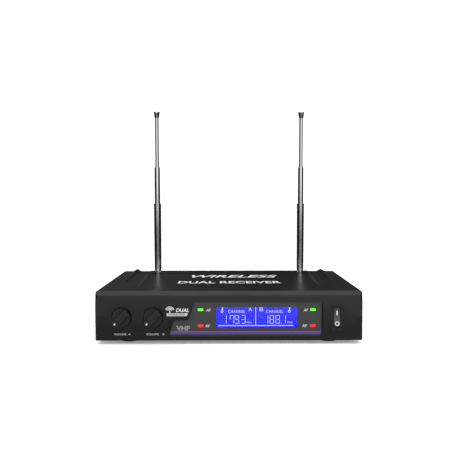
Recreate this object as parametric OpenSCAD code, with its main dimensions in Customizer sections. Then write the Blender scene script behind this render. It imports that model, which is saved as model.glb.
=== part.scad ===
// Desktop two-channel wireless microphone receiver: a moulded case with a front panel,
// a lit display, two volume knobs, a rocker switch and two folding telescopic antennas.
// X is the width, +Y points to the rear, +Z up. The feet stand on z = 0.

/* [Case] */
// Width of the case
body_w = 210; // [208:1:252]
// Depth from the front face to the rear edge of the shells
body_d = 132; // [124:1:160]
// Height of the case without its feet
body_h = 39; // [38:0.5:48]
// Wall thickness of the moulded shells
wall = 2.2; // [1.8:0.1:2.7]
// Radius of the long upper edges of the case
edge_r = 1.4; // [1.2:0.2:2.6]
// Height of the sloping strip along the top of the front panel
bevel_h = 3.25; // [2.5:0.25:4.5]
// Depth of that sloping strip
bevel_d = 4; // [3:0.25:4.8]
// Height of the rubber feet
foot_h = 3; // [2.5:0.25:4]
// Diameter of the rubber feet
foot_d = 15; // [12:0.5:18]

/* [Front panel] */
// How far the crease across the front stands out from its upper and lower edges
crease = 1; // [0.6:0.1:1.2]
// Thickness of the front panel moulding
front_wall = 3.6; // [3.4:0.1:4.4]
// Depth of the sunk display field
field_sink = 1.5; // [1.3:0.1:1.7]
// Thickness of the printed display plate
field_t = 1.2; // [0.8:0.1:1.4]
// Width of the display window
lcd_w = 64; // [53:0.5:66]
// Height of the display window
lcd_h = 16.6; // [14:0.2:18.6]

/* [Controls] */
// Diameter of the volume knobs
knob_d = 14.4; // [13.8:0.1:17.4]
// Length of the volume knobs
knob_len = 6.4; // [6:0.2:8]
// Centre distance of the two knobs
knob_pitch = 24.75; // [24:0.25:26]
// Turn of a knob from its lowest to its highest setting
knob_turn = 270; // [240:5:300]
// Width of the rocker
rocker_w = 5.1; // [4.4:0.1:5.6]
// Swing of the rocker between its two positions
rocker_swing = 16; // [12:1:18]

/* [Antennas] */
// Outer diameter of the lower tube
tube_d = 7; // [6.6:0.1:8.4]
// Outer diameter of the middle tube
middle_d = 5.2; // [5:0.1:5.3]
// Diameter of the upper rod
rod_d = 3.5; // [3:0.1:3.6]
// Length of the lower tube
lower_len = 61; // [58:1:75]
// Length of the middle tube that shows
middle_out = 35.4; // [20:0.2:50]
// Length of the upper rod that shows
rod_out = 47.6; // [25:0.1:50]

/* [Sockets] */
// Bore of the audio output socket, for a 6.35 mm plug
jack_bore_d = 6.5; // [6.45:0.05:6.6]
// Bore of the direct current socket
dc_bore_d = 5.7; // [5.6:0.1:6.5]
// Diameter of the direct current socket's centre pin
dc_pin_d = 2.1; // [2.1:0.4:2.5]

/* [Hidden] */
$fn = 48;

fit_gap = 0.15;          // between mouldings that slot together
run_gap = 0.06;          // radial clearance of a turning shaft
cut = 1;                 // how far a cutter runs past the face it opens

top_z = foot_h + body_h;
half_w = body_w / 2;
lip_t = 1.2;             // thickness of the tongues and ribs that join the shells
foot_edge_r = 1.2;       // radius of the lower edges of the case

// Front panel: y = 0 is the crease, its most forward line
bezel_d = 6;
crease_z = foot_h + 19.4;
pad_y = 0.56 * crease;
corner_r = 1.2;
tongue_l = 4;
control_z = foot_h + 18.7;
knob_a_x = -half_w + 20.75;
knob_b_x = knob_a_x + knob_pitch;
pocket_deep = 1.8;
pocket_r = knob_d / 2 + 0.7;
pad_half = knob_d / 2 + 1.1;
pad_wall = 1.9;
switch_x = half_w - 20.2;
switch_z = foot_h + 18.1;

// Display field outline, counter-clockwise as seen from the front
field_bottom = foot_h + 4.1;
field_top = top_z - 8.7;
field_right = switch_x - 12.1;
field_left = knob_b_x + knob_d / 2 + 5.4;
step_z = foot_h + 16.2;
field = [
    [field_left, field_bottom], [field_right, field_bottom],
    [field_right, field_top - 1.8], [field_right - 0.5, field_top - 0.5], [field_right - 1.8, field_top],
    [field_left + 19.4, field_top], [field_left + 15.6, step_z + 2.2], [field_left + 15, step_z + 0.7],
    [field_left + 13.6, step_z], [field_left + 3.9, step_z]
];
lcd_x = field_right - 50.95;
surround_w = 1.5;
lcd_z = foot_h + 18;
led_dx = 44.2;
led_z = [lcd_z + 6.3, lcd_z - 6.5];
led_w = 5;
led_h = 2;
lamp_w = 4.3;            // rounded nose of a lamp that shows through the plate
lamp_h = 1.9;

// Display stack behind the front panel
glass_w = lcd_w + 3.5;
glass_h = lcd_h + 2.7;
glass_t = 1.8;
glass_y = field_sink + field_t + 0.02;
guide_t = 2.6;
frame_wall = 2.2;

// Front board and pots
board_t = 1.6;
board_y = front_wall + 7.4;
pot_w = 11;
shaft_r = 3;
bush_r = 3.5;
nut_af = 9;
nut_t = 1.6;
washer_t = 0.4;
boss_r = 2.6;
screw_r = 1;
board_bosses = [
    [knob_a_x + knob_pitch / 2, foot_h + 6.5], [knob_a_x + knob_pitch / 2, foot_h + 32],
    [lcd_x - 56, foot_h + 7.5], [lcd_x - 52, foot_h + 32.5], [lcd_x + 41.2, lcd_z]
];

// Knobs
knob_back = pocket_deep - 0.6;
knob_front = knob_back - knob_len;
skirt_front = knob_back - 2.9;
bar_w = 5.6;
bar_draft = 0.5;
pointer_w = 1.1;
pointer_l = 1.7;

// Rocker switch
plate_w = 9.85;
plate_h = 21.5;
plate_t = 0.5;
plate_y = pad_y - plate_t;
well_w = rocker_w + 0.5;
well_h = 16.8;
switch_body_w = plate_w - 1.2;
switch_body_h = plate_h - 1.7;
switch_deep = 13;
rocker_pivot_y = plate_y + 3.5;
trunnion_r = 0.9;
hollow_r = 38;

// Shells
seam_z = foot_h + 13;
cover_in = top_z - wall;
tray_in = foot_h + wall;
panel_t = 1.6;
panel_y = body_d - 2.6;
rib_w = 1.3;
rail_h = 0.5;
rail_y = body_d - 21;
rail_half = half_w - 27;
fin_h = 2.2;
case_screw_x = half_w - 11;
case_screw_y = [27, body_d - 22];
case_split = foot_h + 17;
foot_x = half_w - 24.6;
foot_y = [17.5, body_d - 22];
peg_r = 2;

// Boards and what stands on them
main_z = tray_in + 4.8;
main_top = main_z + board_t;
main_half = half_w - 17;
main_y0 = 20;
main_y1 = body_d - 12;
standoff_x = main_half - 5;
standoff_y = [main_y0 + 16, main_y1 - 28];
ribbon_x = lcd_x - 33.75;

// Sockets
jack_x = -38;
jack_z = foot_h + 19;
jack_bush_r = 4.5;
jack_out = 5;
dc_x = 38;
dc_z = foot_h + 14.6;

// Antennas
antenna_x = half_w - 34.8;
rail_top = top_z + rail_h;
tube_r = tube_d / 2;
tube_wall = 0.5;
tube_in = tube_r - tube_wall;
cheek_r = tube_r - 0.1;
pivot_z = rail_top + tube_r + 0.2;
tongue_t = 2.2;
tongue_gap = 0.1;
pin_r = 0.9;
post_r = tube_r;
post_top = pivot_z - tube_r - 0.1;
flange_r = post_r + 1.1;
antenna_y = panel_y - flange_r - 0.2;
flange_z = cover_in - 3.3;
flange_t = 1.5;
shank_r = 2.5;
bracket_t = 1.5;
bracket_z = flange_z - 0.2 - bracket_t;
base_top = pivot_z + 2.2;
lower_top = base_top + lower_len;
spigot_top = base_top + 3.2;
collar_gap = 0.07;
middle_r = middle_d / 2;
middle_wall = 0.45;
middle_in = middle_r - middle_wall;
middle_top = lower_top + middle_out;
middle_bottom = spigot_top + middle_out + 0.6;
middle_collar = 5;
rod_r = rod_d / 2;
rod_top = middle_top + rod_out;
rod_bottom = middle_bottom + rod_out + 0.5;
rod_collar = 3.5;
tip_h = 5.8;
mouth_t = 1.2;

// The case is centred front to back on the knobs and the audio socket
mid_y = (knob_front + body_d - 1 + jack_out) / 2;

// ---- helpers ----

// Carries the design, which starts at the front face, to its centre
module place() {
    translate([0, -mid_y, 0]) children();
}

// A 2D shape in X and Z, from y0 back to y1
module along_y(y0, y1) {
    translate([0, y1, 0]) rotate([90, 0, 0]) linear_extrude(y1 - y0) children();
}

// A 2D shape in Y and Z, from x0 to x1
module along_x(x0, x1) {
    translate([x0, 0, 0]) rotate([90, 0, 90]) linear_extrude(x1 - x0) children();
}

// A round bar along Y at x, z
module rod_y(x, z, r, y0, y1) {
    translate([x, y0, z]) rotate([-90, 0, 0]) cylinder(r = r, h = y1 - y0);
}

// A round bar along Z at x, y
module rod_z(x, y, r, z0, z1) {
    translate([x, y, z0]) cylinder(r = r, h = z1 - z0);
}

// A box from corner to corner
module block(low, high) {
    translate(low) cube(high - low);
}

// A rectangle with round corners, centred
module round_rect(w, h, r) {
    square([w - 2 * r, h], center = true);
    square([w, h - 2 * r], center = true);
    for (x = [-1, 1], y = [-1, 1]) {
        translate([x * (w / 2 - r), y * (h / 2 - r)]) circle(r);
    }
}

// A slot with half-round ends, centred, standing upright
module upright_slot(w, h) {
    square([w, h - w], center = true);
    for (y = [-1, 1]) {
        translate([0, y * (h - w) / 2]) circle(w / 2);
    }
}

// The case seen from the front, drawn in by a wall, between two heights
module case_outline(inset, low, high) {
    w = body_w - 2 * inset;
    h = body_h - 2 * inset;
    r_top = max(edge_r - inset, 0.6);
    r_low = max(foot_edge_r - inset, 0.6);
    intersection() {
        translate([0, foot_h + inset]) {
            translate([-w / 2, r_low]) square([w, h - r_low - r_top]);
            translate([-w / 2 + r_low, 0]) square([w - 2 * r_low, h / 2]);
            translate([-w / 2 + r_top, 0]) square([w - 2 * r_top, h]);
            for (side = [-1, 1]) {
                translate([side * (w / 2 - r_top), h - r_top]) circle(r_top);
                translate([side * (w / 2 - r_low), r_low]) circle(r_low);
            }
        }
        translate([-body_w, low]) square([2 * body_w, high - low]);
    }
}

// An outline moved outwards by d, its corners mitred
function grown(loop, d) = [
    for (i = [0 : len(loop) - 1])
        let (
            n = len(loop),
            a = loop[(i + n - 1) % n],
            b = loop[i],
            c = loop[(i + 1) % n],
            u = (b - a) / norm(b - a),
            v = (c - b) / norm(c - b),
            p = [u.y, -u.x],
            q = [v.y, -v.x],
            k = p * q
        ) b + d * (p + q) / (1 + k)
];

// The sloping surround below and to the right of the display field, down to the plate's face
module field_surround() {
    y1 = field_sink + 0.3;
    front = fit_gap + (surround_w - fit_gap) * (1 + cut / field_sink);
    back = fit_gap - (surround_w - fit_gap) * 0.3 / field_sink;
    intersection() {
        along_x(-half_w, half_w) polygon([
            [-cut, field_bottom - front], [y1, field_bottom - back], [y1, top_z], [-cut, top_z]
        ]);
        linear_extrude(top_z) polygon([
            [field_left, -cut], [field_right + front, -cut], [field_right + back, y1], [field_left, y1]
        ]);
        along_y(-cut, y1) polygon([
            [field_left - cut, 0], [half_w, 0], [half_w, field_top - 1.3], [field_left + 22, field_top - 1.3],
            [field_left + 17, step_z - 1], [field_left - cut, step_z - 1]
        ]);
    }
}

// An upright flat cut into the crease: half as wide as floor_half, with slanting side walls
module pad_cut(x, floor_half, side_w) {
    slope = side_w / pad_y;
    linear_extrude(top_z) polygon([
        [x - floor_half, pad_y], [x + floor_half, pad_y],
        [x + floor_half + (pad_y + 1) * slope, -1], [x - floor_half - (pad_y + 1) * slope, -1]
    ]);
}

// The slanting facet at an upper front corner of the panel, tapering down towards the crease
module corner_facet(side) {
    foot_z = top_z - bevel_h;
    low = [half_w + 0.1, -0.1, crease_z + 1];
    reach = (top_z + 1 - low.z) / (foot_z - low.z);
    inner = low + reach * ([half_w - 2, crease, foot_z] - low);
    outer = low + reach * ([half_w, crease + 1.5, foot_z] - low);
    past = 0.6 * (outer - inner);
    corners = [low, inner - past, outer + past, [half_w + 3, -3, top_z + 1]];
    faces = [[0, 2, 1], [0, 3, 2], [0, 1, 3], [1, 2, 3]];
    polyhedron(
        points = [for (c = corners) [side * c.x, c.y, c.z]],
        faces = side > 0 ? faces : [for (f = faces) [f[0], f[2], f[1]]]
    );
}

// A pan-head screw pointing up: head below z, shank above
module screw_up(x, y, z, head_r, head_h, r, length) {
    rod_z(x, y, head_r, z - head_h, z);
    rod_z(x, y, r, z - 0.01, z + length);
}

// ---- front panel ----

module front_bezel() {
    color("#2b2b2c") difference() {
        union() {
            intersection() {
                along_y(0, bezel_d) case_outline(0, foot_h, top_z);
                along_x(-half_w - cut, half_w + cut) polygon([
                    [crease, foot_h], [0, crease_z], [crease, top_z - bevel_h], [crease + bevel_d - 1, top_z],
                    [bezel_d, top_z], [bezel_d, foot_h]
                ]);
                linear_extrude(top_z + cut) {
                    translate([-half_w, corner_r]) square([body_w, bezel_d]);
                    translate([-half_w + corner_r, 0]) square([body_w - 2 * corner_r, bezel_d]);
                    for (side = [-1, 1]) {
                        translate([side * (half_w - corner_r), corner_r]) circle(corner_r);
                    }
                }
            }
            along_y(front_wall, bezel_d + tongue_l) case_outline(wall + fit_gap, foot_h, top_z);
            for (b = board_bosses) {
                rod_y(b.x, b.y, boss_r, front_wall - 0.1, board_y);
            }
        }
        // the hollow behind the panel, round the bosses
        difference() {
            along_y(front_wall, bezel_d + tongue_l + cut) case_outline(wall + fit_gap + lip_t, foot_h, top_z);
            for (b = board_bosses) {
                rod_y(b.x, b.y, boss_r, front_wall - cut, board_y);
            }
        }
        for (b = board_bosses) {
            rod_y(b.x, b.y, screw_r + 0.05, front_wall, board_y + cut);
        }
        // display field: sloping surround, seat for the plate, display and lamp openings
        field_surround();
        along_y(-cut, field_sink + field_t) polygon(grown(field, fit_gap));
        translate([lcd_x, 0, lcd_z]) along_y(0, front_wall + cut) square([glass_w + 0.4, glass_h + 0.4], center = true);
        for (side = [-1, 1], z = led_z) {
            translate([lcd_x + side * led_dx, 0, z]) along_y(0, front_wall + cut) {
                square([led_w + 0.8, led_h + 0.8], center = true);
            }
        }
        corner_facet(-1);
        corner_facet(1);
        // knob pockets and the holes for the pot bushes
        for (x = [knob_a_x, knob_b_x]) {
            rod_y(x, control_z, pocket_r, -cut, pocket_deep);
            pad_cut(x, pad_half, pad_wall);
            rod_y(x, control_z, bush_r + 0.1, 0, front_wall + cut);
        }
        // switch opening between two finger hollows
        pad_cut(switch_x, plate_w / 2 + 0.05, 3.1);
        translate([switch_x, 0, switch_z]) along_y(-cut, front_wall + cut) {
            round_rect(switch_body_w + 0.1, switch_body_h + 0.1, 1.6);
        }
    }
}

module display_plate() {
    color("#4a4a4c") difference() {
        along_y(field_sink, field_sink + field_t - 0.02) polygon(field);
        translate([lcd_x, 0, lcd_z]) along_y(0, front_wall) round_rect(lcd_w, lcd_h, 1.5);
        for (side = [-1, 1], z = led_z) {
            translate([lcd_x + side * led_dx, 0, z]) along_y(0, front_wall) {
                round_rect(lamp_w + 0.1, lamp_h + 0.1, 0.9);
            }
        }
    }
}

module display_window() {
    color("lightblue", 0.4) translate([lcd_x, 0, lcd_z]) {
        along_y(field_sink + 0.05, field_sink + field_t - 0.02) round_rect(lcd_w - 0.1, lcd_h - 0.1, 1.45);
    }
}

module lcd_panel() {
    color("#2f2fff") translate([lcd_x, 0, lcd_z]) {
        along_y(glass_y, glass_y + glass_t) square([glass_w, glass_h], center = true);
    }
}

module backlight_guide() {
    color("#dfe7ff") translate([lcd_x, 0, lcd_z]) {
        along_y(glass_y + glass_t + 0.05, glass_y + glass_t + guide_t) square([glass_w, glass_h], center = true);
    }
}

module lcd_frame() {
    color("#202020") translate([lcd_x, 0, lcd_z]) difference() {
        along_y(front_wall + 0.2, board_y) square([glass_w + 2 * frame_wall, glass_h + 2 * frame_wall], center = true);
        along_y(0, board_y - 1.2) square([glass_w + 0.3, glass_h + 0.3], center = true);
    }
}

// One lamp: rounded nose, rectangular body with a collar, two leads
module lamp(x, z) {
    translate([x, 0, z]) {
        along_y(field_sink - 0.1, front_wall) round_rect(lamp_w, lamp_h, 0.85);
        along_y(field_sink + field_t + 0.1, front_wall + 3) square([led_w, led_h], center = true);
        along_y(front_wall + 2.2, front_wall + 3) square([led_w + 1, led_h + 0.8], center = true);
    }
    for (side = [-1, 1]) {
        rod_y(x + side * 1.27, z, 0.28, front_wall + 2.9, board_y);
    }
}

module af_leds() {
    color("#57f226") for (side = [-1, 1]) {
        lamp(lcd_x + side * led_dx, led_z[0]);
    }
}

module rf_leds() {
    color("#ff2a2a") for (side = [-1, 1]) {
        lamp(lcd_x + side * led_dx, led_z[1]);
    }
}

module front_board() {
    x0 = knob_a_x - pot_w / 2 - 3;
    color("#1f5a34") difference() {
        block([x0, board_y, foot_h + 3.4], [field_right, board_y + board_t, cover_in - 1.9]);
        for (b = board_bosses) {
            rod_y(b.x, b.y, screw_r + 0.1, board_y - cut, board_y + board_t + cut);
        }
    }
}

module front_board_screws() {
    color("silver") for (b = board_bosses) {
        rod_y(b.x, b.y, 2, board_y + board_t, board_y + board_t + 1.3);
        rod_y(b.x, b.y, screw_r, board_y - 5, board_y + board_t + 0.1);
    }
}

// ---- volume controls ----

module volume_pots() {
    color("#8c8f94") for (x = [knob_a_x, knob_b_x]) {
        difference() {
            union() {
                translate([x, 0, control_z]) along_y(front_wall + 1.6, board_y) square(pot_w, center = true);
                rod_y(x, control_z, bush_r + 1.1, front_wall, front_wall + 1.7);
                rod_y(x, control_z, bush_r, pocket_deep - 2.2, front_wall + 1.7);
            }
            rod_y(x, control_z, shaft_r + run_gap, pocket_deep - 2.2 - cut, board_y - 1);
        }
    }
}

module pot_washers() {
    color("silver") for (x = [knob_a_x, knob_b_x]) {
        difference() {
            rod_y(x, control_z, nut_af / 2 + 0.6, pocket_deep - washer_t, pocket_deep);
            rod_y(x, control_z, bush_r + 0.05, 0, front_wall);
        }
    }
}

module pot_nuts() {
    color("silver") for (x = [knob_a_x, knob_b_x]) {
        difference() {
            translate([x, pocket_deep - washer_t - nut_t, control_z]) rotate([-90, 0, 0]) {
                cylinder(d = nut_af / cos(30), h = nut_t, $fn = 6);
            }
            rod_y(x, control_z, bush_r + 0.05, -cut - 1, front_wall);
        }
    }
}

module pot_shaft(x) {
    color("#b9bcc0") difference() {
        rod_y(x, control_z, shaft_r, knob_front + 1, board_y - 1.2);
        translate([x, 0, control_z]) rotate([0, -45, 0]) {
            block([shaft_r - 0.8, knob_front, -shaft_r], [shaft_r + cut, -0.6, shaft_r]);
        }
    }
}

// A knob turned to its lowest setting: the bar points down to the left
module at_knob(x) {
    translate([x, 0, control_z]) rotate([0, 360 - knob_turn / 2, 0]) children();
}

module pointer_solid(grow) {
    tip = knob_d / 2 + grow;
    block([-pointer_w / 2 - grow, knob_front - grow, knob_d / 2 - pointer_l - grow],
          [pointer_w / 2 + grow, knob_front + 0.5 + grow, tip]);
}

module knob(x) {
    color("#232324") difference() {
        union() {
            rod_y(x, control_z, knob_d / 2, skirt_front, knob_back);
            intersection() {
                rod_y(x, control_z, knob_d / 2, knob_front, knob_back);
                at_knob(x) translate([0, 0, -knob_d]) linear_extrude(2 * knob_d) polygon([
                    [-bar_w / 2, knob_front], [bar_w / 2, knob_front],
                    [bar_w / 2 + bar_draft, skirt_front + 0.1], [-bar_w / 2 - bar_draft, skirt_front + 0.1]
                ]);
            }
        }
        rod_y(x, control_z, nut_af / 2 / cos(30) + 0.6, pocket_deep - washer_t - nut_t - 0.5, knob_back + cut);
        difference() {
            rod_y(x, control_z, shaft_r + 0.02, knob_front + 1, knob_back);
            translate([x, 0, control_z]) rotate([0, -45, 0]) {
                block([shaft_r - 0.78, knob_front, -shaft_r], [shaft_r + cut, -0.6, shaft_r]);
            }
        }
        at_knob(x) pointer_solid(0);
    }
}

module knob_pointer(x) {
    color("white") intersection() {
        at_knob(x) pointer_solid(0);
        rod_y(x, control_z, knob_d / 2, knob_front, knob_back);
    }
}

// ---- rocker switch ----

module switch_housing() {
    color("#1d1d1e") difference() {
        translate([switch_x, 0, switch_z]) {
            along_y(plate_y, pad_y) round_rect(plate_w, plate_h, 2);
            along_y(plate_y + 0.1, switch_deep) round_rect(switch_body_w, switch_body_h, 1.6);
        }
        translate([switch_x, 0, switch_z]) along_y(-cut, switch_deep - 3) upright_slot(well_w, well_h);
        translate([switch_x - switch_body_w / 2 + 0.6, rocker_pivot_y, switch_z]) rotate([0, 90, 0]) {
            cylinder(r = trunnion_r + run_gap, h = switch_body_w - 1.2, $fn = 32);
        }
    }
}

// The rocker is what is left inside the well at both ends of its swing
module switch_rocker() {
    rest = -rocker_swing / 2;
    color("#3a3a3c") translate([switch_x, rocker_pivot_y, switch_z]) rotate([rest, 0, 0]) {
        difference() {
            intersection() {
                rotate([rest, 0, 0]) along_y(-6, 4.2) upright_slot(rocker_w, well_h - 0.3);
                rotate([-rest, 0, 0]) along_y(-6, 4.2) upright_slot(rocker_w, well_h - 0.3);
                rotate([0, 90, 0]) cylinder(r = well_h / 2 - 0.2, h = 20, center = true, $fn = 96);
            }
            translate([-10, -hollow_r - 3.2, 0]) rotate([0, 90, 0]) cylinder(r = hollow_r, h = 20, $fn = 120);
        }
        rotate([0, 90, 0]) cylinder(r = trunnion_r, h = switch_body_w - 1.6, center = true, $fn = 32);
    }
}

module switch_terminals() {
    color("#c9b26a") for (side = [-1, 1]) {
        translate([switch_x - 2.4, switch_deep, switch_z + side * 5 - 0.4]) cube([4.8, 7, 0.8]);
    }
}

// A wire that leaves the switch, drops beside the board's edge and turns into the header
module lead(x, z, wire_r, reach) {
    y0 = switch_deep + 4;
    y1 = y0 + reach;
    low = main_top + 3.2;
    rod_y(x, z, wire_r, y0, y1);
    rod_z(x, y1, wire_r, low, z);
    translate([x - 6, y1, low]) rotate([0, 90, 0]) cylinder(r = wire_r, h = 6);
    for (corner = [z, low]) {
        translate([x, y1, corner]) sphere(wire_r + 0.2, $fn = 32);
    }
}

module switch_leads() {
    color("firebrick") {
        lead(switch_x + 1.2, switch_z + 6.5, 0.8, 7);
        lead(switch_x - 1.2, switch_z - 3.5, 0.8, 4);
    }
}

// ---- shells ----

// A spear-shaped rib on the cover, from a point near the front to a wide rear end
module fin(side, tip_x, tip_y, rear_x, rear_y, half, high) {
    z = top_z - 0.3;
    hull() {
        translate([side * tip_x, tip_y, z]) cube([0.05, 0.05, 0.3 + 0.02]);
        translate([0, rear_y - 0.05, 0]) along_y(0, 0.05) polygon([
            [side * (rear_x - half), z], [side * (rear_x - half), top_z],
            [side * rear_x, top_z + high],
            [side * (rear_x + half), top_z], [side * (rear_x + half), z]
        ]);
    }
}

// The shell's rib pair that holds the rear panel
module panel_ribs(low, high) {
    difference() {
        union() {
            along_y(panel_y - rib_w - 0.1, panel_y - 0.1) case_outline(wall - 0.1, low, high);
            along_y(panel_y + panel_t + 0.1, body_d) case_outline(wall - 0.1, low, high);
        }
        along_y(panel_y - rib_w - cut, body_d + cut) case_outline(wall + lip_t, foot_h, top_z);
    }
}

module top_cover() {
    color("#262627") difference() {
        union() {
            difference() {
                along_y(bezel_d, body_d) case_outline(0, seam_z, top_z);
                along_y(bezel_d - cut, body_d + cut) case_outline(wall, foot_h, top_z);
            }
            panel_ribs(seam_z + 3, top_z);
            // raised strip that carries the antennas
            along_x(-rail_half, rail_half) polygon([
                [rail_y, top_z - 0.2], [rail_y, top_z], [rail_y + 1.6, rail_top], [body_d, rail_top], [body_d, top_z - 0.2]
            ]);
            for (side = [-1, 1]) {
                fin(side, half_w - 15.1, 38, half_w - 13.3, body_d, 4.2, fin_h);
                fin(side, half_w - 29.9, 20, half_w - 28.8, rail_y - 7, 3.9, fin_h);
                for (y = case_screw_y) {
                    rod_z(side * case_screw_x, y, 3.6, case_split + 0.1, cover_in + 0.1);
                }
            }
        }
        for (side = [-1, 1]) {
            rod_z(side * antenna_x, antenna_y, post_r + 0.25, cover_in - 2, rail_top + cut);
            for (y = case_screw_y) {
                rod_z(side * case_screw_x, y, 1.5, case_split, cover_in - 5);
            }
        }
    }
}

module bottom_tray() {
    color("#262627") difference() {
        union() {
            difference() {
                along_y(bezel_d, body_d) case_outline(0, foot_h, seam_z - 0.4);
                along_y(bezel_d - cut, body_d + cut) case_outline(wall, foot_h, top_z);
            }
            panel_ribs(foot_h, seam_z - 0.4);
            // tongue that stands up inside the cover
            difference() {
                along_y(bezel_d + tongue_l + 0.4, panel_y - rib_w - 0.4) difference() {
                    case_outline(wall + fit_gap, seam_z - 4, seam_z + 2.4);
                    case_outline(wall + fit_gap + lip_t, foot_h, top_z);
                }
                block([-half_w + wall + 3, 0, 0], [half_w - wall - 3, body_d, top_z]);
            }
            difference() {
                along_y(bezel_d + tongue_l + 0.4, panel_y - rib_w - 0.4) difference() {
                    case_outline(wall - 0.1, seam_z - 4, seam_z - 1);
                    case_outline(wall + fit_gap + lip_t, foot_h, top_z);
                }
                block([-half_w + wall + 3, 0, 0], [half_w - wall - 3, body_d, top_z]);
            }
            for (side = [-1, 1]) {
                for (y = case_screw_y) {
                    rod_z(side * case_screw_x, y, 4.6, foot_h + 0.2, case_split);
                }
                for (y = standoff_y) {
                    rod_z(side * standoff_x, y, 3, foot_h + 0.2, main_z);
                }
            }
        }
        for (side = [-1, 1]) {
            for (y = case_screw_y) {
                rod_z(side * case_screw_x, y, 1.6, foot_h - cut, case_split + cut);
                rod_z(side * case_screw_x, y, 3.1, foot_h - cut, foot_h + 6);
            }
            for (y = standoff_y) {
                rod_z(side * standoff_x, y, screw_r + 0.05, tray_in, main_z + cut);
            }
            for (y = foot_y) {
                rod_z(side * foot_x, y, peg_r, foot_h - cut, tray_in + cut);
            }
            // cooling slots in two rows
            for (i = [-4 : 4]) {
                translate([side * 34 + i * 5, body_d / 2 + 4, 0]) linear_extrude(tray_in + cut) upright_slot(2, 26);
            }
        }
    }
}

module rear_panel() {
    color("#2a2a2b") difference() {
        along_y(panel_y, panel_y + panel_t) case_outline(wall + fit_gap, foot_h, top_z);
        rod_y(jack_x, jack_z, jack_bush_r + 0.1, panel_y - cut, body_d + cut);
        rod_y(dc_x, dc_z, dc_bore_d / 2 + 1.65, panel_y - cut, body_d + cut);
    }
}

module case_screws() {
    color("#3b3b3d") for (side = [-1, 1], y = case_screw_y) {
        difference() {
            screw_up(side * case_screw_x, y, foot_h + 6, 2.8, 2.2, 1.45, case_split + 11 - foot_h - 6);
            translate([side * case_screw_x, y, foot_h + 3.8 - cut]) {
                for (turn = [0, 90]) {
                    rotate([0, 0, turn]) translate([-1.6, -0.35, 0]) cube([3.2, 0.7, cut + 1.2]);
                }
            }
        }
    }
}

module rubber_feet() {
    color("#111111") for (side = [-1, 1], y = foot_y) {
        rod_z(side * foot_x, y, foot_d / 2, 0, foot_h);
        rod_z(side * foot_x, y, peg_r - 0.02, foot_h - 0.1, tray_in + 0.4);
        rod_z(side * foot_x, y, peg_r + 0.7, tray_in, tray_in + 1.4);
    }
}

// ---- sockets on the rear ----

module output_jack() {
    color("#18181a") difference() {
        union() {
            translate([jack_x, 0, jack_z]) along_y(panel_y - 22, panel_y) square([15, 17.5], center = true);
            rod_y(jack_x, jack_z, jack_bush_r, panel_y - 0.1, panel_y + panel_t + jack_out);
            for (dx = [-5, 5]) {
                rod_z(jack_x + dx, panel_y - 12, 0.9, main_top, jack_z - 8.7);
            }
        }
        rod_y(jack_x, jack_z, jack_bore_d / 2, panel_y - 20, body_d + jack_out + cut);
    }
}

module output_jack_nut() {
    color("silver") difference() {
        translate([jack_x, panel_y + panel_t, jack_z]) rotate([-90, 0, 0]) {
            cylinder(d = 12 / cos(30), h = 2, $fn = 6);
        }
        rod_y(jack_x, jack_z, jack_bush_r + 0.04, panel_y, body_d + jack_out);
    }
}

module dc_jack() {
    color("#101012") difference() {
        union() {
            block([dc_x - 4.6, panel_y - 13, main_top], [dc_x + 4.6, panel_y - 0.05, dc_z + 5]);
            rod_y(dc_x, dc_z, dc_bore_d / 2 + 1.45, panel_y - 0.1, panel_y + panel_t + 0.4);
        }
        rod_y(dc_x, dc_z, dc_bore_d / 2, panel_y - 9.5, body_d + cut);
        rod_y(dc_x, dc_z, dc_pin_d / 2 + 0.35, panel_y - 13 - cut, panel_y - 9);
    }
}

module dc_jack_pin() {
    color("silver") {
        rod_y(dc_x, dc_z, dc_pin_d / 2, panel_y - 9.5, panel_y - 0.6);
        rod_y(dc_x, dc_z, dc_pin_d / 2 + 0.35, panel_y - 13.1, panel_y - 9.5);
        rod_y(dc_x, dc_z, dc_pin_d / 2 + 0.9, panel_y - 14, panel_y - 13);
        rod_z(dc_x, panel_y - 13.5, 0.45, main_top, dc_z);
    }
}

// ---- main board ----

module main_board() {
    color("#1f5a34") difference() {
        block([-main_half, main_y0, main_z], [main_half, main_y1, main_top]);
        for (side = [-1, 1], y = standoff_y) {
            rod_z(side * standoff_x, y, screw_r + 0.1, main_z - cut, main_top + cut);
        }
    }
}

module main_board_screws() {
    color("silver") for (side = [-1, 1], y = standoff_y) {
        rod_z(side * standoff_x, y, 2, main_top, main_top + 1.3);
        rod_z(side * standoff_x, y, screw_r, main_z - 4, main_top + 0.1);
    }
}

// One thin-walled tin can over each channel's radio stage
module rf_shield_cans() {
    can = [46, 32, 9];
    skin = 0.5;
    color("#c3c6c9") for (side = [-1, 1]) {
        translate([side * 46 - can.x / 2, main_y0 + 12, main_top]) difference() {
            cube(can);
            translate([skin, skin, -cut]) cube([can.x - 2 * skin, can.y - 2 * skin, can.z - skin + cut]);
            for (i = [-1, 1], j = [-1 : 1]) {
                translate([can.x / 2 + j * 12, can.y / 2 + i * 8, can.z / 2]) cylinder(r = 1.8, h = can.z, $fn = 24);
            }
        }
    }
}

// Square tin coil cans with a slotted core in the top
module if_coils() {
    color("#d3d3cf") for (side = [-1, 1], i = [0 : 2]) {
        translate([side * (24 + 13 * i), main_y0 + 54, main_top]) difference() {
            translate([-3.5, -3.5, 0]) cube([7, 7, 8]);
            translate([0, 0, 6.5]) cylinder(r = 2, h = 3, $fn = 24);
        }
    }
}

module crystals() {
    color("#d8dadd") for (side = [-1, 1], i = [0, 1]) {
        translate([side * (14 + 2 * i), main_y0 + 20 + 16 * i, main_top]) {
            linear_extrude(3.6) round_rect(4.6, 11, 2.2);
        }
    }
}

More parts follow.
